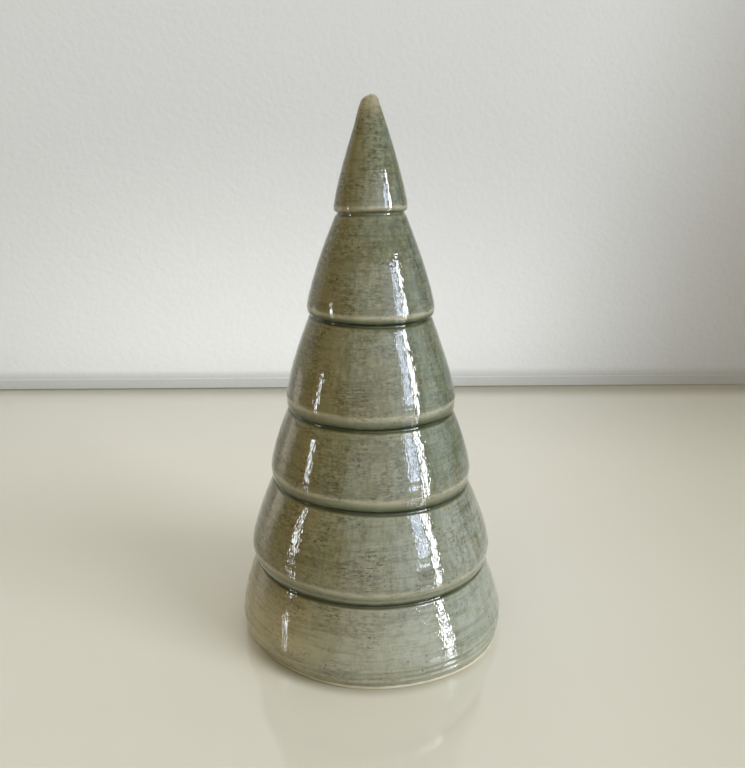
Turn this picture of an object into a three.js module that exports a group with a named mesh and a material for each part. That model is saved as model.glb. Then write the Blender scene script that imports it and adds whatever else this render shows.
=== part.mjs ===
// A wheel-thrown stoneware Christmas tree, 160 mm tall. It is one hollow cone of clay, open
// underneath and closed at the tip, whose outside is turned into six tiers with a groove between
// each two. A fired glaze coat covers the outside and stops just above the foot.
// Millimetres, +Z up. The origin is the centre of the foot, on the surface that the tree stands on.

import * as THREE from 'three';

// The tiers, from the foot up.
//   rise       from the groove below, or the foot, to the groove above, or the tip
//   lip        radius of the tier's widest line
//   lipRise    height of that line over the groove below, or the foot
//   tuck       how far the band under the lip draws in on its way down
//   bandSwell  form of that band: 1 is a straight bevel, more is a rounded bead
//   swell      form of the side over the lip: 1 is a straight cone, more is fuller
const FOOT_TIER = { rise: 24.05, lip: 41.3, lipRise: 6.7, tuck: 1, bandSwell: 1.5, swell: 1.18 };
const TIER_2 = { rise: 24.85, lip: 37.2, lipRise: 4.2, tuck: 0.9, bandSwell: 1.8, swell: 1.3 };
const TIER_3 = { rise: 21.85, lip: 30.7, lipRise: 3.7, tuck: 0.35, bandSwell: 1.8, swell: 1.3 };
const TIER_4 = { rise: 28.1, lip: 25.5, lipRise: 3.8, tuck: 0.3, bandSwell: 1.6, swell: 1.27 };
const TIER_5 = { rise: 29.35, lip: 18.8, lipRise: 2.5, tuck: 0.45, bandSwell: 1.6, swell: 1.27 };
const TOP_TIER = { rise: 31.8, lip: 10.6, lipRise: 1.6, tuck: 0.3, bandSwell: 1.4, swell: 1.26 };
const TIERS = [FOOT_TIER, TIER_2, TIER_3, TIER_4, TIER_5, TOP_TIER];

// The tip is a blunt dome.
const TIP_RADIUS = 2.3;
const TIP_DOME = 1.9;

// The grooves are cut with a narrow loop tool. The shoulder under a groove lies a little further in
// than the foot of the band over it.
const GROOVE_WIDTH = 1.3;
const GROOVE_DEPTH = 0.55;
const SHOULDER_STEP = 0.15;

// Fired glaze. It runs thin on the lips and the tip, and pools in the grooves.
const GLAZE_SIDE = 0.45;
const GLAZE_LIP = 0.35;
const GLAZE_GROOVE = 0.7;
const GLAZE_LINE = 0.9; // the foot is wiped bare of glaze up to this height
const BOND = 0.02; // between the clay's face and the glaze's back

// The clay wall, measured at the groove floors, where it is thinnest, and at the foot.
const WALL = 5;
const FOOT_WIDTH = 6;
const FOOT_ROUND = 0.3;
const CAVITY_DOME = 9; // from the topmost groove to the top of the hollow

// The ridges that the potter's fingers leave inside.
const RIDGE_PITCH = 9;
const RIDGE_DEPTH = 0.5;

// Facets round the axis, and steps along each stretch of the glaze's face and of the clay under it.
const SEGMENTS = 48;
const FACE_STEPS = { band: 2, side: 4, groove: 3, tip: 3 };
const CLAY_STEPS = { band: 1, side: 2, groove: 2, tip: 2 };

const mix = (from, to, part) => from + (to - from) * part;

// Heights of the foot, of the middle of each groove and of the tip.
const levels = [0];
for (const tier of TIERS) levels.push(levels.at(-1) + tier.rise);
const HEIGHT = levels.at(-1);

// Radii beside a groove, given the tier over it: the band that ends there, and the shoulder below.
const bandFoot = (above) => above.lip - above.tuck;
const shoulder = (above) => bandFoot(above) - SHOULDER_STEP;

// The band under a tier's lip, up to the lip, from the height `start` over the groove or the foot.
function band(tier, level, start, steps) {
  const points = [];
  for (let k = 0; k <= steps; k++) {
    const height = mix(start, tier.lipRise, k / steps);
    const below = 1 - height / tier.lipRise;
    points.push({
      radius: tier.lip - tier.tuck * below ** tier.bandSwell,
      height: level + height,
      glaze: mix(GLAZE_SIDE, GLAZE_LIP, k / steps),
    });
  }
  return points;
}

// The side over a tier's lip, from just above the lip to the radius and height where it ends.
function side(tier, level, endRadius, endHeight, endGlaze, steps) {
  const points = [];
  for (let k = 1; k <= steps; k++) {
    const up = k / steps;
    points.push({
      radius: mix(tier.lip, endRadius, up ** tier.swell),
      height: mix(level + tier.lipRise, endHeight, up),
      glaze: k < steps ? GLAZE_SIDE : endGlaze,
    });
  }
  return points;
}

// The hollow of a groove between its two edges.
function groove(above, level, steps) {
  const points = [];
  for (let k = 1; k < steps; k++) {
    const turn = (Math.PI * k) / steps;
    const edges = mix(shoulder(above), bandFoot(above), (1 - Math.cos(turn)) / 2);
    points.push({
      radius: edges - GROOVE_DEPTH * Math.sin(turn),
      height: level - (GROOVE_WIDTH / 2) * Math.cos(turn),
      glaze: GLAZE_GROOVE,
    });
  }
  return points;
}

// The dome of the tip, above its edge. `lean` turns the glaze's thickness from sideways to upwards.
function tip(steps) {
  const points = [];
  for (let k = 1; k <= steps; k++) {
    const lean = (Math.PI / 2) * (k / steps);
    points.push({
      radius: k < steps ? TIP_RADIUS * Math.cos(lean) : 0,
      height: HEIGHT - TIP_DOME * (1 - Math.sin(lean)),
      glaze: GLAZE_LIP,
      lean,
    });
  }
  return points;
}

// The tree's outside, from `start` over the foot to the tip.
function outside(steps, start) {
  const points = [];
  TIERS.forEach((tier, i) => {
    const above = TIERS[i + 1];
    const level = levels[i];
    points.push(...band(tier, level, i === 0 ? start : GROOVE_WIDTH / 2, steps.band));
    if (above) {
      const edge = levels[i + 1] - GROOVE_WIDTH / 2;
      points.push(...side(tier, level, shoulder(above), edge, GLAZE_SIDE, steps.side));
      points.push(...groove(above, levels[i + 1], steps.groove));
    } else {
      points.push(...side(tier, level, TIP_RADIUS, HEIGHT - TIP_DOME, GLAZE_LIP, steps.side));
      points.push(...tip(steps.tip));
    }
  });
  return points;
}

// A point of the outside, taken down through the glaze and `further` into the clay.
function under({ radius, height, glaze, lean = 0 }, further) {
  const depth = glaze + further;
  return {
    radius: radius === 0 ? 0 : radius - depth * Math.cos(lean),
    height: height - depth * Math.sin(lean),
  };
}

// The inside of the clay wall, from the foot to the top of the hollow. It runs straight from the
// foot to WALL inside each groove's floor, with a ridge at every other step.
function inside(footRadius) {
  const knots = [{ radius: footRadius, height: 0 }];
  TIERS.slice(1).forEach((above, i) => {
    const floor = (bandFoot(above) + shoulder(above)) / 2 - GROOVE_DEPTH - GLAZE_GROOVE - BOND;
    knots.push({ radius: floor - WALL, height: levels[i + 1] });
  });
  const last = knots.at(-1);

  const points = [knots[0]];
  for (let k = 1; (k * RIDGE_PITCH) / 2 < last.height; k++) {
    const height = (k * RIDGE_PITCH) / 2;
    const next = knots.findIndex((knot) => knot.height >= height);
    const [from, to] = [knots[next - 1], knots[next]];
    const wall = mix(from.radius, to.radius, (height - from.height) / (to.height - from.height));
    points.push({ radius: k % 2 ? wall - RIDGE_DEPTH : wall, height });
  }
  points.push(last);
  for (let k = 1; k <= CLAY_STEPS.tip; k++) {
    const turn = (Math.PI / 2) * (k / CLAY_STEPS.tip);
    const radius = k < CLAY_STEPS.tip ? last.radius * Math.cos(turn) : 0;
    points.push({ radius, height: last.height + CAVITY_DOME * Math.sin(turn) });
  }
  return points;
}

// A solid turned round the tree's axis from an outline that starts and ends on it.
function turned(name, outline, look) {
  const profile = outline.map(({ radius, height }) => new THREE.Vector2(radius, height));
  const geometry = new THREE.LatheGeometry(profile, SEGMENTS);
  geometry.rotateX(Math.PI / 2);
  const mesh = new THREE.Mesh(geometry, new THREE.MeshStandardMaterial(look));
  mesh.name = name;
  return mesh;
}

function glazeCoat() {
  const face = outside(FACE_STEPS, GLAZE_LINE + GLAZE_SIDE);
  const back = outside(CLAY_STEPS, GLAZE_LINE).map((point) => under(point, 0));
  return turned('glaze_coat', [...back.reverse(), ...face], {
    color: '#84856f',
    roughness: 0.12,
    metalness: 0,
  });
}

function clayBody() {
  const wall = outside(CLAY_STEPS, FOOT_ROUND).map((point) => under(point, BOND));
  const footEdge = { radius: wall[0].radius - FOOT_ROUND, height: 0 };
  const hollow = inside(footEdge.radius - FOOT_WIDTH);
  return turned('clay_body', [...hollow.reverse(), footEdge, ...wall], {
    color: '#c3bca3',
    roughness: 0.85,
    metalness: 0,
  });
}

const tree = new THREE.Group();
tree.name = 'christmas_tree';
tree.add(clayBody(), glazeCoat());

export default tree;
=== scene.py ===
import math
from collections import namedtuple
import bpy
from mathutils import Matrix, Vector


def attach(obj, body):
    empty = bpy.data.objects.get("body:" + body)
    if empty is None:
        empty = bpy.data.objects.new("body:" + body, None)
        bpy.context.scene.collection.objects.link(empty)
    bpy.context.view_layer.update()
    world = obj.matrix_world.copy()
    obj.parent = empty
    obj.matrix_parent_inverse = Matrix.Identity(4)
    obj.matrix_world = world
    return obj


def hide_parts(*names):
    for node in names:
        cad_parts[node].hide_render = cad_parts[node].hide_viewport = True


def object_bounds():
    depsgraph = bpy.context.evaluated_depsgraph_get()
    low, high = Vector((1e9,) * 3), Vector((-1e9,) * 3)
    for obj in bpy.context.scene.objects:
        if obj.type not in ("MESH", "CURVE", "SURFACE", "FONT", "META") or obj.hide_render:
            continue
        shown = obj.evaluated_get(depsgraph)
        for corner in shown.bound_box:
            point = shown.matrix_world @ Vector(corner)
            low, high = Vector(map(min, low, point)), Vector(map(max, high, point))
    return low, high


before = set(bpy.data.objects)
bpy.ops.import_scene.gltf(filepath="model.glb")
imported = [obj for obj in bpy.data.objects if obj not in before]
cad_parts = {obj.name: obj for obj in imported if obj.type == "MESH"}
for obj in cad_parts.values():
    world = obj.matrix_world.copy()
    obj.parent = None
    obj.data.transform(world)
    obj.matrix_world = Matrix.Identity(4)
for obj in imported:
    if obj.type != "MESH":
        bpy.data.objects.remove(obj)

from types import SimpleNamespace

import bpy
import numpy as np
from mathutils import Matrix, Vector, noise

bl_info = {
    "name": "Thrown Christmas tree",
    "version": (1, 0, 0),
    "blender": (4, 5, 0),
    "location": "3D View > Sidebar > Tree",
    "description": "Makes a wheel-thrown stoneware tree, its celadon glaze and a small studio",
    "category": "Add Mesh",
}

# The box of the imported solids, which the dressed tree keeps to.
CAD_LOW, CAD_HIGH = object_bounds()

MM = 0.001


def linear(hex_colour):
    """An sRGB hex colour as the linear red, green and blue that Blender works in."""
    shares = [int(hex_colour[k:k + 2], 16) / 255 for k in (1, 3, 5)]
    return tuple(s / 12.92 if s <= 0.04045 else ((s + 0.055) / 1.055) ** 2.4 for s in shares)


# The thrown form, in millimetres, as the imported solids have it.

# A tier's rise runs from the groove below it, or the foot, to the groove above it, or the tip. Its
# lip is the radius of its widest line, at lip_rise over the groove below. Under the lip a band
# draws in by tuck. The swells say how full the band and the side over the lip are.
Tier = namedtuple("Tier", "rise lip lip_rise tuck band_swell swell")
FOOT_TIER = Tier(24.05, 41.3, 6.7, 1.0, 1.5, 1.18)
TIER_2 = Tier(24.85, 37.2, 4.2, 0.9, 1.8, 1.3)
TIER_3 = Tier(21.85, 30.7, 3.7, 0.35, 1.8, 1.3)
TIER_4 = Tier(28.1, 25.5, 3.8, 0.3, 1.6, 1.27)
TIER_5 = Tier(29.35, 18.8, 2.5, 0.45, 1.6, 1.27)
TOP_TIER = Tier(31.8, 10.6, 1.6, 0.3, 1.4, 1.26)
TIERS = (FOOT_TIER, TIER_2, TIER_3, TIER_4, TIER_5, TOP_TIER)

TIP_RADIUS = 2.3
TIP_DOME = 1.9
GROOVE_WIDTH = 1.3
GROOVE_DEPTH = 0.55
SHOULDER_STEP = 0.15

GLAZE_SIDE = 0.45
GLAZE_LIP = 0.35
GLAZE_GROOVE = 0.7
GLAZE_EDGE = 0.12
GLAZE_LINE = 0.9
BOND = 0.02

WALL = 5.0
FOOT_WIDTH = 6.0
FOOT_ROUND = 0.3
FOOT_CHAMFER = 0.35
CAVITY_DOME = 9.0

# Steps along each stretch of the outside: as fine as the glaze's face, and as its hidden back. A
# finger ridge and the top of the hollow have so many steps each.
FACE_STEPS = {"band": 20, "side": 40, "groove": 12, "tip": 8}
BACK_STEPS = {"band": 2, "side": 6, "groove": 4, "tip": 3}
RIDGE_STEPS = 10
CAVITY_STEPS = 8

# How far the fired glaze takes the sharpness off the corners of its face.
GLAZE_SOFTENS = 0.22

# Where the potter's hands left the form: how far each groove drops per millimetre towards +X, and
# how far it sags at the front.
GROOVE_SLOPES = (0.019, 0.024, 0.012, 0.022, -0.018)
GROOVE_SAGS = (0.9, 0.8, 0.35, 0.7, 0.5)

# Where hands pressed the wet foot out of round: bearing from the front towards +X, and half width,
# in degrees, and depth. The depths of the trim and the flare are settings.
Press = namedtuple("Press", "bearing width depth", defaults=(0.0,))
FOOT_TRIM = Press(-43, 28)
FOOT_FLARE = Press(51, 24)
LIP_OUT = Press(44, 26, 0.5)
LIP_IN = Press(-82, 30, 0.45)

# The fine rounds that a rib has left on the foot's band: where they are deepest, their pitch, and
# the heights that they lie between.
RIB = Press(55, 70, 0.18)
RIB_PITCH = 1.9
RIB_FROM, RIB_TO = 1.6, 7.2

# The tip leans to the left over this height, by this much, and its slant is as tall as this.
TIP_LEAN_HEIGHT = 9
TIP_LEAN = 0.5
TIP_SLANT_HEIGHT = 4

# How strongly each groove's edge is worn to the clay, and how deep the glaze lies in it, which also
# sets the shade painted in it.
GROOVE_WEAR = (0.45, 0.55, 0.55, 0.5, 0.95)
GROOVE_POOL = (1.0, 1.0, 1.0, 0.95, 0.42)

# How far glaze gathers below and above a groove's middle.
POOL_BELOW = 0.85
POOL_ABOVE = 1.6

# The bearings between which warm shade and the room's reflection are painted brown on the left
# side, and over how many degrees the brown comes in and goes out. Up to the height given last it
# reaches further round to the back.
LEFT_SHADE_FROM, LEFT_SHADE_FOOT_FROM, LEFT_SHADE_COMES = -92, -125, 50
LEFT_SHADE_TO, LEFT_SHADE_GOES = -14, 25
LEFT_SHADE_FOOT_TOP = 26

# The bearing of the side that faces the windows, where their cool light and reflection are
# painted on the glaze, and over how many degrees to each side.
WINDOW_SIDE_BEARING, WINDOW_SIDE_WIDTH = 72, 52

# Patches where iron slip shows through in streaks: bearing from the front towards +X and its half
# width in degrees, height and its half height in millimetres, and strength.
Patch = namedtuple("Patch", "bearing width height tall strength")
STREAK_PATCHES = (
    Patch(2, 22, 35, 5, 1.0),
    Patch(-24, 16, 21, 2.2, 0.9),
    Patch(-4, 22, 15, 4, 0.6),
    Patch(-12, 30, 54, 3, 0.7),
    Patch(-14, 22, 66, 2.5, 0.6),
    Patch(-2, 30, 82, 6, 0.7),
    Patch(-32, 24, 111, 8, 0.8),
    Patch(70, 30, 40, 6, 0.7),
    Patch(120, 24, 58, 6, 0.8),
    Patch(-150, 40, 30, 8, 0.8),
    Patch(175, 35, 84, 7, 0.8),
    Patch(-95, 30, 86, 8, 0.6),
    Patch(60, 40, 118, 8, 0.6),
    Patch(-120, 40, 142, 8, 0.6),
)


def mix(start, end, part):
    return start + (end - start) * part


LEVELS = [0.0]
for tier in TIERS:
    LEVELS.append(LEVELS[-1] + tier.rise)
HEIGHT = LEVELS[-1]

# A point of the outline: how deep the glaze is there, and how far its thickness leans from
# sideways to upwards.
Point = namedtuple("Point", "radius height glaze lean", defaults=(0.0,))


def band_foot(above):
    return above.lip - above.tuck


def shoulder(above):
    return band_foot(above) - SHOULDER_STEP


def band(tier, level, start, steps, start_glaze=GLAZE_SIDE):
    """The band under a tier's lip, up to the lip."""
    for k in range(steps + 1):
        height = mix(start, tier.lip_rise, k / steps)
        below = 1 - height / tier.lip_rise
        radius = tier.lip - tier.tuck * below ** tier.band_swell
        yield Point(radius, level + height, mix(start_glaze, GLAZE_LIP, k / steps))


def side(tier, level, end_radius, end_height, end_glaze, steps):
    """The side over a tier's lip. The finer it is drawn, the closer its steps lie at both ends."""
    for k in range(1, steps + 1):
        up = k / steps
        if steps > BACK_STEPS["side"]:
            up = mix(up, (1 - math.cos(math.pi * up)) / 2, 0.7)
        radius = mix(tier.lip, end_radius, up ** tier.swell)
        height = mix(level + tier.lip_rise, end_height, up)
        yield Point(radius, height, GLAZE_SIDE if k < steps else end_glaze)


def groove(above, level, steps):
    """The hollow of a groove between its two edges."""
    for k in range(1, steps):
        turn = math.pi * k / steps
        edges = mix(shoulder(above), band_foot(above), (1 - math.cos(turn)) / 2)
        radius = edges - GROOVE_DEPTH * math.sin(turn)
        yield Point(radius, level - GROOVE_WIDTH / 2 * math.cos(turn), GLAZE_GROOVE)


def tip(steps):
    """The dome of the tip, above its edge."""
    for k in range(1, steps + 1):
        lean = math.pi / 2 * k / steps
        radius = TIP_RADIUS * math.cos(lean) if k < steps else 0.0
        yield Point(radius, HEIGHT - TIP_DOME * (1 - math.sin(lean)), GLAZE_LIP, lean)


def outside(steps, start):
    """The tree's outside from just over the foot to the tip."""
    points = []
    for i, tier in enumerate(TIERS):
        level = LEVELS[i]
        if i == 0:
            points += band(tier, level, start, steps["band"], GLAZE_EDGE)
        else:
            points += band(tier, level, GROOVE_WIDTH / 2, steps["band"])
        if i + 1 < len(TIERS):
            above = TIERS[i + 1]
            edge = LEVELS[i + 1] - GROOVE_WIDTH / 2
            points += side(tier, level, shoulder(above), edge, GLAZE_SIDE, steps["side"])
            points += groove(above, LEVELS[i + 1], steps["groove"])
        else:
            points += side(tier, level, TIP_RADIUS, HEIGHT - TIP_DOME, GLAZE_LIP, steps["side"])
            points += tip(steps["tip"])
    return points


def under(point, further):
    """A point of the outside, taken down through the glaze and further into the clay."""
    depth = point.glaze + further
    if point.radius == 0:
        return 0.0, point.height - depth
    return point.radius - depth * math.cos(point.lean), point.height - depth * math.sin(point.lean)


def rounded(outline, reach):
    """Takes the sharpness off an outline's corners, over about the reach on each side. Each point
    becomes a weighted mean of what lies within three times the reach of it."""
    per_reach = 5
    half = 3 * per_reach
    line = np.array([(p.radius, p.height) for p in outline])
    along = np.concatenate(([0.0], np.cumsum(np.hypot(*np.diff(line, axis=0).T))))
    fine = np.arange(0, along[-1], reach / per_reach)
    dense = np.column_stack([np.interp(fine, along, line[:, k]) for k in (0, 1)])
    weights = np.exp(-0.5 * (np.arange(-half, half + 1) / per_reach) ** 2)
    weights /= weights.sum()
    soft = dense.copy()
    padded = np.pad(dense, ((half, half), (0, 0)), mode="reflect", reflect_type="odd")
    for k in (0, 1):
        soft[:, k] = np.convolve(padded[:, k], weights, mode="valid")
    return [
        (float(np.interp(a, fine, soft[:, 0])), float(np.interp(a, fine, soft[:, 1])))
        if 0 < i < len(line) - 1 else tuple(line[i])
        for i, a in enumerate(along)
    ]


def hollow(foot_radius, ridge_pitch, ridge_depth):
    """The inside of the wall, from the foot to the top of the hollow, with its finger ridges."""
    radii, heights = [foot_radius], [0.0]
    for i, above in enumerate(TIERS[1:]):
        floor = (band_foot(above) + shoulder(above)) / 2 - GROOVE_DEPTH - GLAZE_GROOVE - BOND
        radii.append(floor - WALL)
        heights.append(LEVELS[i + 1])
    points = [(foot_radius, 0.0)]
    height = 2 * FOOT_ROUND
    while height < heights[-1] - 1:
        ridge = ridge_depth * (1 - math.cos(2 * math.pi * height / ridge_pitch)) / 2
        points.append((float(np.interp(height, heights, radii)) - ridge, height))
        height += ridge_pitch / RIDGE_STEPS
    points.append((radii[-1], heights[-1]))
    for k in range(1, CAVITY_STEPS + 1):
        turn = math.pi / 2 * k / CAVITY_STEPS
        radius = radii[-1] * math.cos(turn) if k < CAVITY_STEPS else 0.0
        points.append((radius, heights[-1] + CAVITY_DOME * math.sin(turn)))
    return points


def near(distance, reach):
    """A share that is 1 at no distance, and falls off smoothly over the reach."""
    return np.exp(-(distance / reach) ** 2)


def within(value, low, high, edge):
    """A share that is 1 between two limits, and fades to 0 over an edge inside each of them."""
    return np.clip((value - low) / edge, 0, 1) * np.clip((high - value) / edge, 0, 1)


def round_from(bearing, centre):
    """How many degrees a bearing lies from a centre, the shorter way round."""
    return (bearing - centre + 180) % 360 - 180


def waver(points, size, seed):
    """Smooth noise from -1 to 1 at points in millimetres, with swells of about that size."""
    offset = Vector((seed * 7.31, seed * 3.17, seed * 5.93))
    return np.array([noise.noise(Vector(p) / size + offset) for p in points])


def worked_by_hand(points, form):
    """Moves points of the true turned form to where the potter's hands left them."""
    x, y, z = points.T
    radius, turn = np.hypot(x, y), np.arctan2(x, -y)
    bearing = np.degrees(turn)
    outer = np.clip(radius / np.interp(z, LEVELS, [t.lip for t in TIERS] + [1.0]), 0, 1)

    # The foot is trimmed in at the left front, and stands out at the right front, where the lip
    # over it was pushed out too.
    foot = np.clip(1 - z / FOOT_TIER.lip_rise, 0, 1) ** 1.1
    trim = near(bearing - FOOT_TRIM.bearing, FOOT_TRIM.width)
    flare = near(bearing - FOOT_FLARE.bearing, FOOT_FLARE.width)
    swell = radius + outer * foot * (form.foot_flare * flare - form.foot_trim * trim) / MM
    low_lip = near(z - FOOT_TIER.lip_rise + 1, 6) * (1 - foot)
    swell += outer * low_lip * LIP_OUT.depth * near(bearing - LIP_OUT.bearing, LIP_OUT.width)
    swell -= outer * low_lip * LIP_IN.depth * near(bearing - LIP_IN.bearing, LIP_IN.width)

    # The rib's fine rounds.
    rounds = np.sin(2 * math.pi * (z - 0.4) / RIB_PITCH) * within(z, RIB_FROM, RIB_TO, 1)
    swell += outer * RIB.depth * rounds * near(bearing - RIB.bearing, RIB.width)

    # The throwing spiral, and the slow unevenness of a form pulled up by hand. Both leave the
    # grooves alone.
    away = np.min([np.abs(z - level) for level in LEVELS[1:-1]], axis=0)
    clear = np.clip((away - 1.5) / 3, 0, 1) * np.clip(z / 6, 0, 1)
    spiral = np.sin(2 * math.pi * (z / (form.throwing_pitch / MM)) + turn)
    broad = np.clip(radius / 25, 0.25, 1)
    swell += outer * broad * clear * form.throwing_depth / MM * spiral * (0.6 + waver(points, 9, 2))
    swell += outer * broad * form.unevenness / MM * waver(points, 14, 1) * np.clip(z / 3, 0, 1)

    scale = np.where(radius > 1e-9, swell / np.maximum(radius, 1e-9), 1.0)
    x, y = x * scale, y * scale

    # The grooves run a little downhill to the right, all but the topmost, and each has its own
    # slight rise and fall.
    slope = np.interp(z, LEVELS, (0.0, *GROOVE_SLOPES, 0.0))
    sway = 0.12 * np.sin(2 * turn + z / 17) + 0.08 * np.sin(3 * turn - z / 11)
    sag = np.interp(z, LEVELS, (0.0, *GROOVE_SAGS, 0.0)) * np.clip(np.cos(turn), 0, 1)
    lower = slope * x + (sag - sway * within(z, 0, HEIGHT, 12)) * outer

    # The tip was pinched off and smoothed over, lower on its left side.
    lean = np.clip((z - (HEIGHT - TIP_LEAN_HEIGHT)) / 6, 0, 1)
    x = x - TIP_LEAN * lean * np.clip((0.2 - x) / 1.2, 0, 1)
    near_tip = np.clip((z - (HEIGHT - TIP_SLANT_HEIGHT)) / TIP_SLANT_HEIGHT, 0, 1) ** 1.5
    lower += near_tip * np.clip(0.3 - x, 0, None) * form.tip_slant
    return np.column_stack([x, y, z - lower])


def glaze_marks(points):
    """What the glaze does at each point of the true turned form, and the light and shade painted on
    it, in shares from 0 to 1 that its material reads. Heights and reaches are in millimetres."""
    x, y, z = points.T
    bearing = np.degrees(np.arctan2(x, -y))
    over = z[:, None] - np.array(LEVELS[1:-1])  # the height over each groove
    rise = np.array([t.lip_rise for t in TIERS[1:]])
    to_lip = over - rise  # the height over the lip above each groove

    # Glaze gathers in the grooves, where shade is painted with it, and a little along the wiped
    # line at the foot.
    gather = np.where(over < 0.1, POOL_BELOW, POOL_ABOVE)
    pooled_and_shaded = (np.array(GROOVE_POOL) * near(over - 0.1, gather)).max(1)
    pooled_and_shaded = np.maximum(pooled_and_shaded, 0.2 * near(z - GLAZE_LINE - 0.45, 0.4))

    # It is thin on each lip and on the shoulder under each groove, and nearly gone at the tip.
    edge = (np.array(GROOVE_WEAR) * near(to_lip, 0.42)).max(1)
    edge = np.maximum(edge, 0.3 * near(over + 1.05, 0.3).max(1))
    bare = 0.75 * np.clip((z - (HEIGHT - 8)) / 7, 0, 1) ** 1.5

    # A pale bead along each lip, over the lowest groove and down the foot's band is a painted
    # highlight on the lips and a painted reflection of the pale floor on the bands that face down.
    bead = near(to_lip, np.where(to_lip < 0, 1.0, 0.5)).max(1)
    bead = np.maximum(bead, 0.5 * near(z - FOOT_TIER.lip_rise + 0.3, 0.6))
    bead = np.maximum(bead, 0.8 * near(over[:, 0] - 1.7, 0.5))
    bead = np.maximum(bead, 0.5 * np.clip((5.8 - z) / 2, 0, 1))

    streaked = np.zeros(len(z))
    for patch in STREAK_PATCHES:
        turn = round_from(bearing, patch.bearing)
        away = (turn / patch.width) ** 2 + ((z - patch.height) / patch.tall) ** 2
        streaked = np.maximum(streaked, patch.strength * np.exp(-0.7 * away))

    # The left side, where warm shade and the room's reflection are painted; low down it reaches
    # further round to the back.
    low = np.clip((LEFT_SHADE_FOOT_TOP - z) / 4, 0, 1)
    start = mix(LEFT_SHADE_FROM, LEFT_SHADE_FOOT_FROM, low)
    left_warm_shade = np.clip((bearing - start) / LEFT_SHADE_COMES, 0, 1)
    left_warm_shade *= np.clip((LEFT_SHADE_TO - bearing) / LEFT_SHADE_GOES, 0, 1)
    return {
        "pooled_and_shaded": pooled_and_shaded,
        "edge": edge,
        "bare": bare,
        "bead": bead,
        "smooth_band": within(over, 0.4, rise, 0.6).max(1),
        "streaked": streaked,
        "left_warm_shade": left_warm_shade,
        # The side that faces the windows, where their light and reflection are painted on the
        # glaze.
        "window_side": near(round_from(bearing, WINDOW_SIDE_BEARING), WINDOW_SIDE_WIDTH),
        "height": z / HEIGHT,
    }


def ragged_line(points):
    """How far the wiped edge of the glaze rises at each point, in millimetres. It isn't quite
    straight, and is highest at the front."""
    x, y, z = points.T
    front = np.clip(np.cos(np.arctan2(x, -y)), 0, 1)
    ragged = 0.28 * front + 0.16 * waver(points, 2.5, 4)
    return ragged * np.clip(1 - (z - GLAZE_LINE) / 1.2, 0, 1)


# Making pieces.

def deselect_all():
    """The operators act on all that is selected, so each piece starts from nothing selected."""
    if bpy.context.object and bpy.context.object.mode != "OBJECT":
        bpy.ops.object.mode_set(mode="OBJECT")
    bpy.ops.object.select_all(action="DESELECT")


def turned(name, outline, steps):
    """Turns a closed piece from an outline of (radius, height) in millimetres that starts and ends
    on the axis: one corner of a plane is drawn out along the outline, and the line is spun."""
    deselect_all()
    start = Vector((outline[0][0] * MM, 0, outline[0][1] * MM))
    bpy.ops.mesh.primitive_plane_add(size=1 * MM, location=start)
    piece = bpy.context.object
    piece.name = piece.data.name = name
    bpy.ops.object.mode_set(mode="EDIT")
    bpy.ops.mesh.select_all(action="SELECT")
    bpy.ops.mesh.merge(type="CENTER")
    for (r0, h0), (r1, h1) in zip(outline, outline[1:]):
        move = ((r1 - r0) * MM, 0, (h1 - h0) * MM)
        bpy.ops.mesh.extrude_vertices_move(TRANSFORM_OT_translate={"value": move})
    bpy.ops.mesh.select_all(action="SELECT")
    bpy.ops.mesh.spin(steps=steps, angle=2 * math.pi, center=(0, 0, 0), axis=(0, 0, 1))
    bpy.ops.mesh.select_all(action="SELECT")
    bpy.ops.mesh.remove_doubles(threshold=0.001 * MM)
    bpy.ops.mesh.normals_make_consistent(inside=False)
    bpy.ops.object.mode_set(mode="OBJECT")
    bpy.ops.object.transform_apply(location=True, rotation=True, scale=True)
    open_edges = len(piece.data.edges) - sum(len(p.vertices) for p in piece.data.polygons) / 2
    if open_edges:
        raise RuntimeError(f"{name} isn't closed: {open_edges} of its edges lack a face")
    return piece


def places(piece):
    """A piece's points, in millimetres."""
    flat = np.empty(len(piece.data.vertices) * 3)
    piece.data.vertices.foreach_get("co", flat)
    return flat.reshape(-1, 3) / MM


def move_to(piece, points):
    """Sets a piece's points, in millimetres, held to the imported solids' box."""
    points = np.clip(points, np.array(CAD_LOW) / MM, np.array(CAD_HIGH) / MM)
    piece.data.vertices.foreach_set("co", (points * MM).ravel())
    piece.data.update()


def keep(piece, name, values):
    """Stores a number for each point of a piece, which its material reads."""
    attribute = piece.data.attributes.new(name, "FLOAT", "POINT")
    attribute.data.foreach_set("value", np.clip(values, 0, 1).astype(np.float32))


def finish_piece(piece, material, node, smooth_under):
    """Shades a piece, gives it its material and puts it on the frame in its node's place."""
    piece.data.materials.clear()
    piece.data.materials.append(material)
    deselect_all()
    piece.select_set(True)
    bpy.context.view_layer.objects.active = piece
    bpy.ops.object.shade_smooth_by_angle(angle=math.radians(smooth_under))
    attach(piece, "root")
    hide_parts(node)


# Making materials.

def blank(name):
    """An empty node material, and its tree."""
    material = bpy.data.materials.new(name)
    material.use_nodes = True
    material.node_tree.nodes.clear()
    return material, material.node_tree


def add(tree, kind, inputs=(), **settings):
    """Adds a shader node with settings of its own. The inputs are what its sockets hold, in order
    or by name or number: a value, a linear colour, one of a node's outputs, or a node, which stands
    for the first output that it uses."""
    made = tree.nodes.new("ShaderNode" + kind)
    for name, value in settings.items():
        setattr(made, name, value)
    held = inputs if isinstance(inputs, dict) else dict(enumerate(inputs))
    for name, source in held.items():
        socket = made.inputs[name]
        if isinstance(source, bpy.types.Node):
            source = next(output for output in source.outputs if output.enabled)
        if isinstance(source, bpy.types.NodeSocket):
            tree.links.new(source, socket)
        else:
            socket.default_value = (*source, 1.0) if socket.type == "RGBA" else source
    return made


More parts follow.
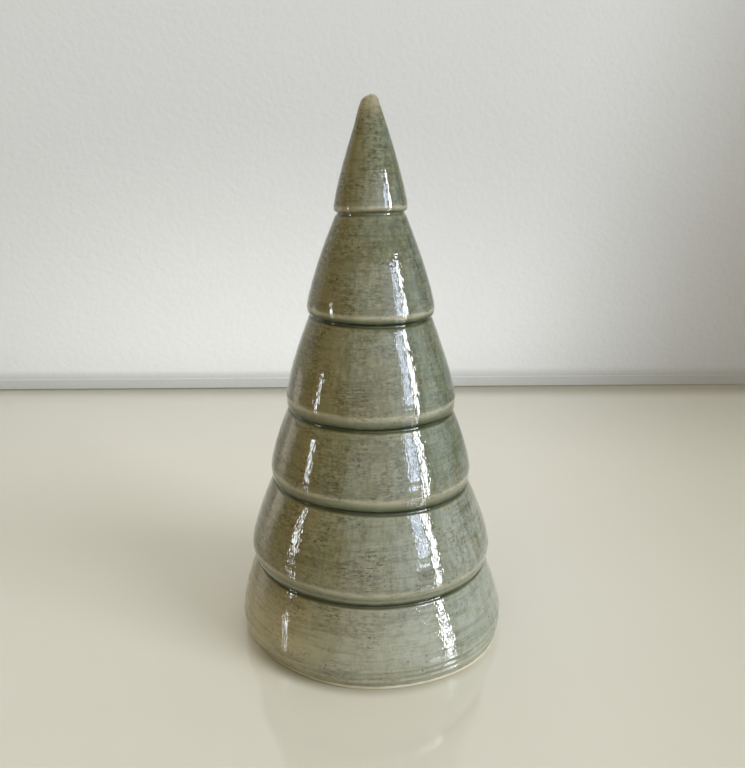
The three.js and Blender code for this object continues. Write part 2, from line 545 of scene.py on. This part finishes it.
def share(tree, *factors):
    """A share that is the product of its factors. A factor is a value, an output, or a ramp: an
    output, the two values of it between which the factor changes, and what it changes from and to,
    which is from 0 to 1 unless given."""
    result = None
    for factor in factors:
        if isinstance(factor, tuple):
            factor = add(tree, "MapRange", factor, interpolation_type="SMOOTHSTEP")
        if result is None:
            result = factor
        else:
            result = add(tree, "Math", (result, factor), operation="MULTIPLY")
    return result


def lay_coats(tree, colour, *coats):
    """Lays coats over a colour, one after another. A coat is its colour and the factors of the
    share of it that shows."""
    for coat, *factors in coats:
        # These are the sockets that the node uses for colours.
        held = {0: share(tree, *factors), 6: colour, 7: coat}
        colour = add(tree, "Mix", held, data_type="RGBA").outputs[2]
    return colour


def surface(material, inputs):
    """Gives a material its surface."""
    shader = add(material.node_tree, "BsdfPrincipled", inputs)
    add(material.node_tree, "OutputMaterial", {"Surface": shader})
    return material


def per_mm(size):
    """The scale at which a texture's features are about that many millimetres across."""
    return 1 / (size * MM)


# A pattern of noise, whose features are so many millimetres across, times the stretch on each axis.
Grain = namedtuple(
    "Grain", "size detail stretch roughness shift", defaults=(2, (1, 1, 1), 0.5, (0, 0, 0))
)


def draw_grains(tree, place, grains):
    """Draws a material's patterns, and gives each by its name."""
    drawn = SimpleNamespace()
    for name, grain in grains.items():
        scale = [per_mm(grain.size * s) for s in grain.stretch]
        shifted = add(tree, "Mapping", {"Vector": place, "Scale": scale, "Location": grain.shift})
        look = {"Scale": 1.0, "Detail": grain.detail, "Roughness": grain.roughness}
        setattr(drawn, name, add(tree, "TexNoise", {"Vector": shifted, **look}))
    return drawn


def iron_specks(tree, place, sorts):
    """How strongly iron specks show. Each sort has the millimetres from one to the next, the share
    of them that is left out, and the largest one's radius as a share of that spacing."""
    shown = 0.0
    for spacing, left_out, radius in sorts:
        cells = add(tree, "TexVoronoi", {"Vector": place, "Scale": per_mm(spacing)}).outputs
        chance = add(tree, "SeparateColor", (cells["Color"],)).outputs[0]
        reach = share(tree, (chance, left_out, 1, 0, radius))
        speck = add(tree, "Math", (cells["Distance"], reach), operation="LESS_THAN")
        shown = add(tree, "Math", (shown, speck), operation="MAXIMUM")
    return share(tree, shown, 0.8)


# Cloudiness some 3 mm across, runs and drips drawn down the sides, 1 to 3 mm wide, a mottle 1 mm
# across that comes and goes over 7 mm, throwing lines 0.4 mm apart and some 5 mm long, broader dim
# rounds, slip that a rib has dragged along, uneven pooling, and wear in dots. The relief is an
# orange peel 0.5 mm across and drawn out upright, the throwing ridges, and a slow swell.
GLAZE_GRAINS = {
    "drift": Grain(28),
    "cloud": Grain(3.2, 4, (1.4, 1.4, 0.8), 0.6),
    "runs": Grain(2.6, 2, (1, 1, 8), 0.5, (3, 1, 2)),
    "drips": Grain(1.1, 2, (1, 1, 9), 0.5, (6, 1, 5)),
    "patches": Grain(7, 2, (1, 1, 1.3), 0.5, (4, 2, 2)),
    "mottle": Grain(0.8, 3, (1.5, 1.5, 0.9), 0.6),
    "lines": Grain(1, 2, (3, 3, 0.42)),
    "rounds": Grain(1.4, 2, (14, 14, 1), 0.5, (2, 7, 7)),
    "drag": Grain(1, 3, (3.6, 3.6, 0.5), 0.6, (5, 9, 2)),
    "broken": Grain(0.9, 2, (1, 1, 0.6), 0.5, (1, 4, 7)),
    "depth": Grain(5),
    "wear": Grain(1.3, 3, (2.2, 2.2, 0.8), 0.65, (2, 2, 9)),
    "peel": Grain(0.65, 0, (0.8, 0.8, 3.6), 0.5, (8, 1, 3)),
    "ridges": Grain(1, 0, (6, 6, 0.7), 0.5, (1, 8, 3)),
    "swell": Grain(4.5, 0, (1, 1, 1.5), 0.4, (4, 4, 1)),
}


def celadon_glaze(look):
    """Celadon: a clear grey-green stoneware glaze, poured over and fired in reduction. It's glassy,
    so its gloss is sharp, but its skin has a fine orange peel that breaks a highlight up. It runs
    thin and shows the buff clay on the lips and the tip, and pools dark green in the grooves, where
    shade is painted too. Iron in the clay shows through as specks, and in streaks along the
    throwing lines."""
    material, tree = blank("celadon_glaze")
    place = add(tree, "TexCoord").outputs["Object"]
    grains = draw_grains(tree, place, GLAZE_GRAINS)
    pooled_and_shaded, edge, bare, bead, smooth_band, streaked, left_warm_shade, window_side, height = (
        add(tree, "Attribute", attribute_name=name).outputs["Fac"]
        for name in (
            "pooled_and_shaded", "edge", "bare", "bead", "smooth_band", "streaked", "left_warm_shade", "window_side",
            "height",
        )
    )

    # The glaze drifts between olive and grey-green, and is paler towards the foot. On the right,
    # the side that faces the windows, their cool light and reflection are painted on: greener, with
    # a painted dark reflection high up and painted light low down. Elsewhere the top is paler.
    colour = lay_coats(
        tree, look.olive,
        (look.grey_green, (grains.drift, 0.38, 0.62)),
        (look.cool_green, window_side, 0.8),
        (look.pale_grey, (height, 0.36, 0.1, 0, 0.45)),
        (look.pale_foot, (height, 0.2, 0.05, 0, 0.75)),
        (look.dark_cool, window_side, (height, 0.55, 0.85, 0, 0.92)),
        (look.pale_cool, window_side, (height, 0.42, 0.22, 0, 0.85)),
        (look.pale_grey, (height, 0.55, 0.97, 0, 0.4), (window_side, 0.3, 0.9, 1, 0.2)),
    )

    # Clouds, and runs and drips that fade out over the foot.
    clear = share(tree, (height, 0.06, 0.26, 0.3, 1))
    colour = lay_coats(
        tree, colour,
        (look.pale_grey, (grains.cloud, 0.4, 0.65, 0, 0.4)),
        (look.olive, (grains.runs, 0.45, 0.68, 0, 0.6), clear),
        (look.streak, (grains.drips, 0.48, 0.68, 0, 0.3), clear),
        (look.pale_grey, (grains.drips, 0.46, 0.28, 0, 0.45)),
    )

    # Warm shade and the room's reflection are painted brown on the left side, and tan at the foot,
    # with an edge that runs. The smooth band under each lip is greener, and its upper half has the
    # pale bead of painted highlight and reflection.
    brown = lay_coats(tree, look.left_warm_shade, (look.tan, (height, 0.17, 0.06)))
    running = add(tree, "Math", (grains.runs, 0.5), operation="SUBTRACT")
    uneven = add(tree, "Math", (left_warm_shade, running), operation="ADD")
    colour = lay_coats(
        tree, colour,
        (brown, (uneven, 0.1, 0.9, 0, 0.85)),
        (look.grey_green, smooth_band, 0.5),
        (look.bead, bead, 0.85),
    )

    # The mottle of clay and glaze together comes and goes. It is weaker in the smooth bands, over
    # the foot and on the right.
    mottled = share(
        tree, (smooth_band, 0, 1, 1, 0.45), (height, 0.06, 0.26, 0.5, 1), (window_side, 0.3, 1, 1, 0.65),
        (grains.patches, 0.4, 0.6, 0.35, 1.15),
    )
    colour = lay_coats(
        tree, colour,
        (look.streak, (grains.mottle, 0.46, 0.76, 0, 0.95), mottled),
        (look.pale_grey, (grains.mottle, 0.5, 0.26, 0, 0.6), mottled),
        (look.streak, (grains.lines, 0.48, 0.7, 0, 0.5), mottled),
        (look.streak, (grains.rounds, 0.48, 0.68, 0, 0.3)),
    )

    # Iron shows in streaks, where the slip was dragged by the rib, and in specks of 0.2 to 0.6 mm
    # with finer ones between them. Where the glaze gathers it goes green, and nearly black where it
    # is deepest, which also paints the shade in the grooves. On the edges it breaks thin over the
    # buff clay, in dots, and the tip is nearly bare.
    streaks = share(
        tree, (grains.drag, 0.51, 0.61), (grains.broken, 0.38, 0.54), (streaked, 0, 1, 0.06, 1),
        mottled,
    )
    depth = share(tree, pooled_and_shaded, (grains.depth, 0.3, 0.6, 0.8, 1))
    colour = lay_coats(
        tree, colour,
        (look.iron, streaks),
        (look.speck, iron_specks(tree, place, ((3.0, 0.5, 0.12), (1.3, 0.78, 0.17)))),
        (look.pool, (depth, 0.05, 0.55, 0, 0.9)),
        (look.deep, (depth, 0.42, 0.85)),
        (look.buff, edge, (grains.wear, 0.42, 0.62, 0.15, 0.95)),
        (look.buff, bare, (grains.wear, 0.3, 0.6, 0.45, 1)),
    )

    # The streaks are a little duller than the glassy skin.
    relief = add(tree, "Math", (grains.peel, share(tree, grains.ridges, 0.6)), operation="ADD")
    fine = add(tree, "Bump", {"Height": relief, "Distance": look.peel_depth})
    slow = {"Height": grains.swell, "Normal": fine, "Distance": look.swell_depth}
    return surface(material, {
        "Base Color": colour,
        "Roughness": share(tree, (streaks, 0, 1, look.roughness, look.roughness + 0.15)),
        "Normal": add(tree, "Bump", slow),
        "IOR": 1.52,
    })


# Slow changes of tone, sandy grain of 0.35 mm, and throwing slip dragged along the finger lines.
CLAY_GRAINS = {
    "tone": Grain(12, 3),
    "sand": Grain(0.35, 3, roughness=0.7),
    "slip": Grain(1, 3, (9, 9, 0.8), 0.6),
}


def bare_stoneware(look):
    """Stoneware fired bare: a dry, matte cream body with sandy grog, toasted a little in broad
    patches, and marked along the rounds that the potter's fingers drew."""
    material, tree = blank("bare_stoneware")
    place = add(tree, "TexCoord").outputs["Object"]
    grains = draw_grains(tree, place, CLAY_GRAINS)
    # Its iron specks are sparser than the glaze's.
    colour = lay_coats(
        tree, look.clay,
        (look.toasted, (grains.tone, 0.35, 0.65)),
        (look.grog, (grains.sand, 0.55, 0.75, 0, 0.5)),
        (look.clay, (grains.slip, 0.45, 0.7, 0, 0.35)),
        (look.speck, iron_specks(tree, place, ((3.5, 0.6, 0.09),))),
    )
    relief = add(tree, "Math", (grains.sand, share(tree, grains.slip, 0.8)), operation="ADD")
    return surface(material, {
        "Base Color": colour,
        "Normal": add(tree, "Bump", {"Height": relief, "Distance": 0.05 * MM}),
        "IOR": 1.5,
        "Roughness": look.dryness,
    })


def laminate(look):
    """A cream laminate top: smooth, with a deep gloss that mirrors the tree. Shade is painted on it
    along the wall, darkest at its back edge, and towards the corner at the right."""
    material, tree = blank("cream_laminate")
    place = add(tree, "TexCoord").outputs["Object"]
    right, away, _ = add(tree, "SeparateXYZ", (place,)).outputs

    # The front of the foot shades the top close to it.
    flat = add(tree, "VectorMath", (place, (1, 1, 0)), operation="MULTIPLY")
    reach = add(tree, "VectorMath", (flat,), operation="LENGTH").outputs["Value"]
    colour = lay_coats(
        tree, look.floor,
        # Painted shade along the wall, at the back edge and towards the corner at the right.
        (look.floor_back, (away, 0.12, 0.28)),
        (look.floor_edge_shade, (away, 0.255, 0.285)),
        (look.floor_corner_shade, (right, 0.05, 0.24, 0, 0.32)),
        (look.floor_shade, (reach, 0.0445, 0.0395, 0, 0.55), (away, -0.015, -0.036)),
    )

    ripple = draw_grains(tree, place, {"ripple": Grain(40, 1)}).ripple
    return surface(material, {
        "Base Color": colour,
        "Normal": add(tree, "Bump", {"Height": ripple, "Distance": 0.1 * MM}),
        "Roughness": look.floor_roughness,
        "IOR": 1.85,
    })


def painted_plaster(look):
    """A plain wall in matte white paint, with the faint stipple that a roller leaves. A patch of
    daylight is painted on it low down behind the tree, and painted shade darkens it at its foot and
    most of all in the corner at the right."""
    material, tree = blank("painted_plaster")
    place = add(tree, "TexCoord").outputs["Object"]
    right, _, up = add(tree, "SeparateXYZ", (place,)).outputs

    # The painted patch of daylight fades out over an ellipse round its centre.
    ellipse = {"Scale": (1 / 0.2, 0.0, 1 / 0.105), "Location": (0.3, 0.0, 0.0)}
    spread = add(tree, "Mapping", {"Vector": place, **ellipse})
    off = add(tree, "VectorMath", (spread,), operation="LENGTH").outputs["Value"]
    lit = share(tree, (off, 1.85, 0))
    corner = add(tree, "Math", (right, share(tree, up, 0.3)), operation="SUBTRACT")
    colour = lay_coats(
        tree, look.wall,
        (look.wall_bright, lit),
        # The strip's own grey fades up the foot of the wall as painted shade, and painted shadow
        # lies in the corner at the right.
        (look.strip, (up, 0.013, 0.006, 0, 0.85)),
        (look.wall_corner_shadow, (corner, 0.065, 0.25, 0, 0.55)),
    )

    # The patch of daylight also glows, as painted light: the glow shows to the camera and in gloss,
    # and doesn't light the tree.
    ray = add(tree, "LightPath").outputs
    seen = (ray["Is Camera Ray"], ray["Is Glossy Ray"])
    grains = draw_grains(tree, place, {"stipple": Grain(3.5, 3, roughness=0.6)})
    bump = {"Height": grains.stipple, "Distance": 0.25 * MM}
    return surface(material, {
        "Base Color": colour,
        "Normal": add(tree, "Bump", bump),
        "Emission Color": lay_coats(tree, (0.0, 0.0, 0.0), (look.wall_glow, lit)),
        "Emission Strength": add(tree, "Math", seen, operation="MAXIMUM"),
        "Roughness": 0.75,
        "IOR": 1.45,
    })


def matte(name, colour):
    """A dull, even coating."""
    return surface(blank(name)[0], {"Base Color": colour, "Roughness": 0.7, "IOR": 1.45})


# What a user may change.

def length(name, description, value):
    """A length, given in millimetres."""
    return bpy.props.FloatProperty(
        name=name, description=description, default=value * MM, min=0.0,
        subtype="DISTANCE", unit="LENGTH", precision=5,
    )


def colour_of(name, description, hex_colour):
    """A colour, given as sRGB hex."""
    return bpy.props.FloatVectorProperty(
        name=name, description=description, default=linear(hex_colour), size=3,
        min=0.0, max=1.0, subtype="COLOR",
    )


def share_of(name, description, default):
    """A share from 0 to 1."""
    return bpy.props.FloatProperty(
        name=name, description=description, default=default, min=0.0, max=1.0, subtype="FACTOR"
    )


def angle(name, description, degrees):
    """An angle, given in degrees."""
    return bpy.props.FloatProperty(
        name=name, description=description, default=math.radians(degrees), subtype="ANGLE",
        unit="ROTATION",
    )


class TREE_PG_form(bpy.types.PropertyGroup):
    """How the tree's form departs from a true turned one."""

    steps: bpy.props.IntProperty(
        name="Steps", description="Steps round the axis", default=192, min=24, max=256
    )
    foot_trim: length("Foot trim", "How far the foot is trimmed in at the left front", 1.5)
    foot_flare: length("Foot flare", "How far the foot stands out at the right front", 1.3)
    throwing_pitch: length("Throwing pitch", "Height between turns of the throwing spiral", 4.1)
    throwing_depth: length("Throwing depth", "Height of the throwing spiral", 0.03)
    unevenness: length("Unevenness", "Slow rise and fall of the surface", 0.2)
    finger_pitch: length("Finger pitch", "Height between the finger ridges inside", 9.0)
    finger_depth: length("Finger depth", "Depth of the finger ridges inside", 0.5)
    tip_slant: bpy.props.FloatProperty(
        name="Tip slant", description="How steeply the tip falls to the left", default=0.32, min=0.0
    )


class TREE_PG_glaze(bpy.types.PropertyGroup):
    """Colours and surface of the glaze."""

    olive: colour_of("Olive", "The glaze where it is warmest", "#737050")
    grey_green: colour_of("Grey-green", "The glaze where it is coolest", "#767c68")
    pale_grey: colour_of("Pale grey", "The glaze where it is clouded", "#94927a")
    pale_foot: colour_of("Pale foot", "The glaze over the foot", "#a5a691")
    # Dark cool, pale cool and cool green paint the windows' dark reflection, light and cool tint on
    # the right side.
    dark_cool: colour_of("Dark cool", "The glaze high up on the right", "#4a5b52")
    pale_cool: colour_of("Pale cool", "The glaze low down on the right", "#a5aca2")
    cool_green: colour_of("Cool green", "The glaze on the right", "#67776d")
    # This colour and the tan below paint warm shade and the room's reflection on the left side.
    left_warm_shade: colour_of("Flashed", "The glaze where the flame has browned it", "#817957")
    tan: colour_of("Tan", "The glaze over the foot where the flame has browned it", "#b7aa87")
    # The pale bead is a painted highlight on each lip and a painted reflection of the floor.
    bead: colour_of("Bead", "The pale bead under each lip", "#b6b39c")
    buff: colour_of("Buff", "Where the glaze is thin and the clay shows", "#b8a98c")
    # Pool and deep are the gathered glaze and the shade painted in the grooves.
    pool: colour_of("Pool", "Where the glaze gathers", "#555a3b")
    deep: colour_of("Deep", "Where the glaze is deepest", "#2a3214")
    streak: colour_of("Streak", "The dark side of the mottle and the throwing lines", "#4a4832")
    iron: colour_of("Iron", "Iron streaks", "#3b3624")
    speck: colour_of("Speck", "Iron specks", "#33291c")
    roughness: share_of("Roughness", "Roughness of the glassy skin", 0.06)
    peel_depth: length("Peel depth", "Depth of the orange peel and the throwing lines", 0.03)
    swell_depth: length("Swell depth", "Depth of the slow swell", 0.05)


class TREE_PG_clay(bpy.types.PropertyGroup):
    """Colours and surface of the bare clay."""

    clay: colour_of("Clay", "The bare fired clay", "#e9e3cf")
    toasted: colour_of("Toasted", "The clay where the fire has toasted it", "#dfd5bb")
    grog: colour_of("Grog", "Sandy grains in the clay", "#a8987b")
    speck: colour_of("Speck", "Iron specks", "#4b3a28")
    dryness: share_of("Roughness", "Roughness of the bare clay", 0.85)


class TREE_PG_stage(bpy.types.PropertyGroup):
    """The floor, the wall, the lights and the camera."""

    floor: colour_of("Floor", "The cream top", "#d6d3c7")
    # Floor back, floor edge and floor corner are painted shade: along the wall, at the top's back
    # edge and towards the corner at the right.
    floor_back: colour_of("Floor back", "The cream top along the wall", "#cbc9be")
    floor_edge_shade: colour_of("Floor edge", "The cream top at its back edge", "#939180")
    floor_corner_shade: colour_of("Floor corner", "The cream top far to the right", "#9a8f74")
    floor_shade: colour_of("Floor shade", "The cream top close to the foot", "#7d7d64")
    wall: colour_of("Wall", "The painted wall", "#e1e2e6")
    # The patch of daylight painted behind the tree, and its painted glow.
    wall_bright: colour_of("Wall bright", "The painted wall behind the tree", "#fcfcfb")
    wall_glow: colour_of("Wall glow", "The daylight on the wall behind the tree", "#585a5e")
    # Painted shadow low down on the right, and the strip's grey that fades up the wall as painted
    # shade.
    wall_corner_shadow: colour_of("Wall corner", "The painted wall low down on the right", "#6e6138")
    strip: colour_of("Strip", "The strip along the foot of the wall", "#c6c6c3")
    joint: colour_of("Joint", "The sealant behind the floor", "#85826f")
    floor_roughness: share_of("Floor roughness", "Roughness of the cream top", 0.07)
    wall_distance: length("Wall distance", "From the tree's axis to the wall", 290)
    wall_turn: angle("Wall turn", "How far the wall draws away to the right", 1.65)
    camera_distance: length("Camera distance", "From the tree's axis to the camera", 220)
    camera_height: length("Camera height", "Height of the camera over the floor", 135.3)
    camera_tilt: angle("Camera tilt", "How far the camera looks down", 14.77)


class TREE_OT_throw_clay(bpy.types.Operator):
    """Throw the hollow clay body: the bare foot ring, the wall and the hollow inside"""

    bl_idname = "tree.throw_clay"
    bl_label = "Throw the clay"

    def execute(self, context):
        form = context.scene.tree_form
        wall = [under(p, BOND) for p in outside(BACK_STEPS, FOOT_ROUND)]
        foot_edge = wall[0][0] - FOOT_ROUND
        foot_roll = [
            (foot_edge + FOOT_ROUND * math.sin(turn), FOOT_ROUND * (1 - math.cos(turn)))
            for turn in (0.0, math.pi / 6, math.pi / 3)
        ]
        inner = foot_edge - FOOT_WIDTH
        inside = hollow(inner, form.finger_pitch / MM, form.finger_depth / MM)
        ring = [(inner + FOOT_CHAMFER, 0.0), (inner + FOOT_WIDTH / 2, 0.0)]
        inside[0] = (inner, FOOT_CHAMFER)
        clay = turned("thrown_clay", [*reversed(inside), *ring, *foot_roll, *wall], form.steps)
        move_to(clay, worked_by_hand(places(clay), form))
        finish_piece(
            clay, bare_stoneware(context.scene.tree_clay), "clay_body",
            smooth_under=40,
        )
        return {"FINISHED"}


class TREE_OT_pour_glaze(bpy.types.Operator):
    """Coat the outside with glaze, thin on the lips and deep in the grooves"""

    bl_idname = "tree.pour_glaze"
    bl_label = "Pour the glaze"

    def execute(self, context):
        form = context.scene.tree_form
        back = [under(p, 0.0) for p in outside(BACK_STEPS, GLAZE_LINE)]
        face = rounded(outside(FACE_STEPS, GLAZE_LINE + GLAZE_EDGE), GLAZE_SOFTENS)
        edge_radius, edge_height = face[0]
        roll = [
            (
                edge_radius - GLAZE_EDGE * (1 - math.sin(turn)),
                edge_height - GLAZE_EDGE * math.cos(turn),
            )
            for turn in (math.pi / 8, math.pi / 4, math.pi * 3 / 8)
        ]
        glaze = turned("poured_glaze", [*reversed(back), *roll, *face], form.steps)

        points = places(glaze)
        for name, values in glaze_marks(points).items():
            keep(glaze, name, values)
        points[:, 2] += ragged_line(points)
        move_to(glaze, worked_by_hand(points, form))
        finish_piece(
            glaze, celadon_glaze(context.scene.tree_glaze), "glaze_coat",
            smooth_under=60,
        )
        return {"FINISHED"}


def hang(name, location, rotation, size, power, colour):
    """A rectangular light, with its width and height in metres and its power in watts. The camera
    doesn't see it."""
    deselect_all()
    bpy.ops.object.light_add(type="AREA", location=location, rotation=rotation)
    lamp = bpy.context.object
    lamp.name = name
    lamp.data.shape = "RECTANGLE"
    lamp.data.size, lamp.data.size_y = size
    lamp.data.energy = power
    lamp.data.color = linear(colour)
    lamp.visible_camera = False
    return lamp


def mirrored(name, bearing, distance, height, width, tall, colour, radiance):
    """An upright light that only glossy surfaces show: bearing in degrees from the front towards
    +X, the rest in metres. Its power follows from how bright it looks."""
    turn = math.radians(bearing)
    location = (distance * math.sin(turn), -distance * math.cos(turn), height)
    power = radiance * math.pi * width * tall
    lamp = hang(name, location, (math.pi / 2, 0, turn), (width, tall), power, colour)
    lamp.visible_diffuse = False


def soft_light(name, location, rotation, size, power, colour):
    """A soft square light that lights the scene and isn't mirrored in the glaze."""
    hang(name, location, rotation, (size, size), power, colour).visible_glossy = False


def flag(name, place, bearing, width, hex_colour):
    """An upright board out of the camera's sight, which only glossy surfaces show. It faces the
    given bearing."""
    deselect_all()
    bpy.ops.mesh.primitive_plane_add(
        size=1, location=place, rotation=(math.pi / 2, 0, math.radians(bearing))
    )
    board = bpy.context.object
    board.name = name
    board.scale = (width, 0.8, 1)
    bpy.ops.object.transform_apply(location=True, rotation=True, scale=True)
    board.data.materials.append(matte(name, linear(hex_colour)))
    board.visible_camera = board.visible_diffuse = board.visible_shadow = False
    return board


def slab(name, low, high, material, turn, pivot):
    """A plain block of the stage between two corners, in metres, turned about an upright line."""
    deselect_all()
    centre = [(a + b) / 2 for a, b in zip(low, high)]
    bpy.ops.mesh.primitive_cube_add(size=1, location=centre)
    block = bpy.context.object
    block.name = name
    block.scale = [b - a for a, b in zip(low, high)]
    bpy.ops.object.transform_apply(location=True, rotation=True, scale=True)
    pivot = Vector((*pivot, 0.0))
    block.rotation_euler.z = turn
    block.location = pivot - Matrix.Rotation(turn, 3, "Z") @ pivot
    bpy.ops.object.transform_apply(location=True, rotation=True, scale=True)
    block.data.materials.append(material)


# The stage's sizes. The strip is the low one along the foot of the wall.
TOP_THICK = 30 * MM
WALL_THICK = 20 * MM
STRIP_THICK, STRIP_TALL = 1.5 * MM, 5.8 * MM
JOINT_WIDTH, JOINT_SUNK = 6 * MM, 0.5 * MM


def lay_top_and_wall(look):
    """A top whose back edge stops short of the strip. A bead of dull sealant fills the joint."""
    wall = look.wall_distance
    strip_front = wall - STRIP_THICK
    floor_back = strip_front - JOINT_WIDTH
    paint = painted_plaster(look)
    sealant = matte("grey_sealant", look.joint)
    for name, low, high, material in (
        ("stage_floor", (floor_back - 2.4, -TOP_THICK), (floor_back, 0), laminate(look)),
        ("stage_wall", (wall, -0.2), (wall + WALL_THICK, 1.5), paint),
        ("stage_strip", (strip_front, -0.2), (wall, STRIP_TALL), paint),
        ("stage_joint", (floor_back, -0.2), (strip_front, -JOINT_SUNK), sealant),
    ):
        slab(name, (-1.2, *low), (1.2, *high), material, look.wall_turn, (0.0, wall))


def hang_lights():
    """What the glaze mirrors, and what lights the scene."""
    # A pair of tall windows to the right, a narrow bright one and a wide one, a low one far to the
    # left beside warm wood, and in front a room that grows brighter towards the windows.
    mirrored("window_bright", 62.8, 1.2, 0.38, 0.11, 0.72, "#f4f8ff", 40)
    mirrored("window_wide", 50.5, 1.2, 0.45, 0.25, 0.60, "#cfe0ff", 5.5)
    for k, bearing in enumerate((47.2, 50.8, 54.8)):
        mirrored(f"window_pane_{k}", bearing, 1.19, 0.45, 0.025, 0.58, "#dfeaff", 24)
    mirrored("window_sill", 51.5, 1.2, 0.12, 0.20, 0.22, "#f0f4f4", 2.8)
    mirrored("window_left", -73.8, 1.2, 0.21, 0.05, 0.32, "#f0f6ff", 28)
    mirrored("wood_left", -80.5, 1.2, 0.26, 0.10, 0.4, "#8a4a28", 2.2)
    mirrored("room_corner", -122, 0.5, 0.055, 0.25, 0.11, "#fff6e4", 1.0)
    mirrored("room_far_left", -45, 1.3, 0.45, 0.80, 0.9, "#d0b070", 0.4)
    mirrored("room_left", -15, 1.3, 0.45, 0.60, 0.9, "#fff8ec", 1.0)
    mirrored("room_middle", 11, 1.3, 0.45, 0.60, 0.9, "#fffcf4", 1.5)
    mirrored("room_right", 35, 1.3, 0.45, 0.52, 0.9, "#f6fbff", 2.1)
    mirrored("room_far_right", 90, 1.3, 0.32, 0.60, 0.62, "#eef5f4", 1.2)

    # Soft daylight from the right, and a glow overhead.
    soft_light("daylight", (1.9, -1.1, 1.2), (1.09, 0, 1.05), 1.3, 45.5, "#eef2fc")
    soft_light("ceiling_glow", (0.0, -0.3, 1.6), (0, 0, 0), 1.8, 13.6, "#fffbf2")

    # A dark flag behind the tree draws a line down its right edge, and a curtain at the right
    # keeps the daylight off that end of the wall.
    flag("flag_right", (0.39, 0.225, 0.4), 120, 0.07, "#26332d")
    curtain = flag("curtain", (0.70, 0.11, 0.4), 90, 0.31, "#8a8a80")
    curtain.visible_glossy, curtain.visible_shadow = False, True


def make_room():
    """A world that is warm on the left and cooler on the right. The camera sees it pale."""
    world = bpy.data.worlds.new("room")
    world.use_nodes = True
    tree = world.node_tree
    tree.nodes.clear()
    facing = add(tree, "TexCoord").outputs["Generated"]
    across = add(tree, "SeparateXYZ", (facing,)).outputs[0]
    room = lay_coats(tree, linear("#8c7c4c"), (linear("#8d9893"), (across, -0.7, 0.7)))
    lit = add(tree, "Background", {"Color": room})
    seen = add(tree, "Background", {"Color": linear("#d9d9d4")})
    camera_ray = add(tree, "LightPath").outputs["Is Camera Ray"]
    add(tree, "OutputWorld", {"Surface": add(tree, "MixShader", (camera_ray, lit, seen))})
    return world


# The photograph is 768 pixels tall, and its lens is as long as 750 of them.
LENS_PIXELS, PHOTO_PIXELS = 750, 768
SENSOR = 36


def stand_camera(look):
    """The camera, where the photograph was taken from."""
    deselect_all()
    bpy.ops.object.camera_add(
        location=(0.55 * MM, -look.camera_distance, look.camera_height),
        rotation=(math.pi / 2 - look.camera_tilt, 0, 0),
    )
    camera = bpy.context.object
    camera.name = "camera"
    camera.data.sensor_width = SENSOR
    camera.data.lens = LENS_PIXELS / PHOTO_PIXELS * SENSOR
    camera.data.clip_start, camera.data.clip_end = 0.01, 20
    return camera


class TREE_OT_set_stage(bpy.types.Operator):
    """Set up the cream top, the wall, the lights and the camera"""

    bl_idname = "tree.set_stage"
    bl_label = "Set the stage"

    def execute(self, context):
        look = context.scene.tree_stage
        lay_top_and_wall(look)
        hang_lights()
        context.scene.world = make_room()
        context.scene.camera = stand_camera(look)
        context.scene.view_settings.view_transform = "Standard"
        return {"FINISHED"}


class TREE_PT_panel(bpy.types.Panel):
    """The tree's settings and the steps that make it"""

    bl_idname = "TREE_PT_panel"
    bl_label = "Thrown Christmas tree"
    bl_space_type = "VIEW_3D"
    bl_region_type = "UI"
    bl_category = "Tree"

    def draw(self, context):
        for heading, group, operator in (
            ("Form", "tree_form", None),
            ("Clay", "tree_clay", TREE_OT_throw_clay.bl_idname),
            ("Glaze", "tree_glaze", TREE_OT_pour_glaze.bl_idname),
            ("Stage", "tree_stage", TREE_OT_set_stage.bl_idname),
        ):
            box = self.layout.box()
            box.label(text=heading)
            settings = getattr(context.scene, group)
            for name in settings.__annotations__:
                box.prop(settings, name)
            if operator:
                box.operator(operator)


CLASSES = (
    TREE_PG_form, TREE_PG_glaze, TREE_PG_clay, TREE_PG_stage,
    TREE_OT_throw_clay, TREE_OT_pour_glaze, TREE_OT_set_stage, TREE_PT_panel,
)
GROUPS = {
    "tree_form": TREE_PG_form,
    "tree_glaze": TREE_PG_glaze,
    "tree_clay": TREE_PG_clay,
    "tree_stage": TREE_PG_stage,
}


def register():
    for cls in CLASSES:
        bpy.utils.register_class(cls)
    for name, group in GROUPS.items():
        setattr(bpy.types.Scene, name, bpy.props.PointerProperty(type=group))


def unregister():
    for name in GROUPS:
        delattr(bpy.types.Scene, name)
    for cls in reversed(CLASSES):
        bpy.utils.unregister_class(cls)


def main():
    register()
    bpy.ops.tree.throw_clay()
    bpy.ops.tree.pour_glaze()
    bpy.ops.tree.set_stage()
    bpy.context.view_layer.update()


if __name__ == "__main__":
    main()
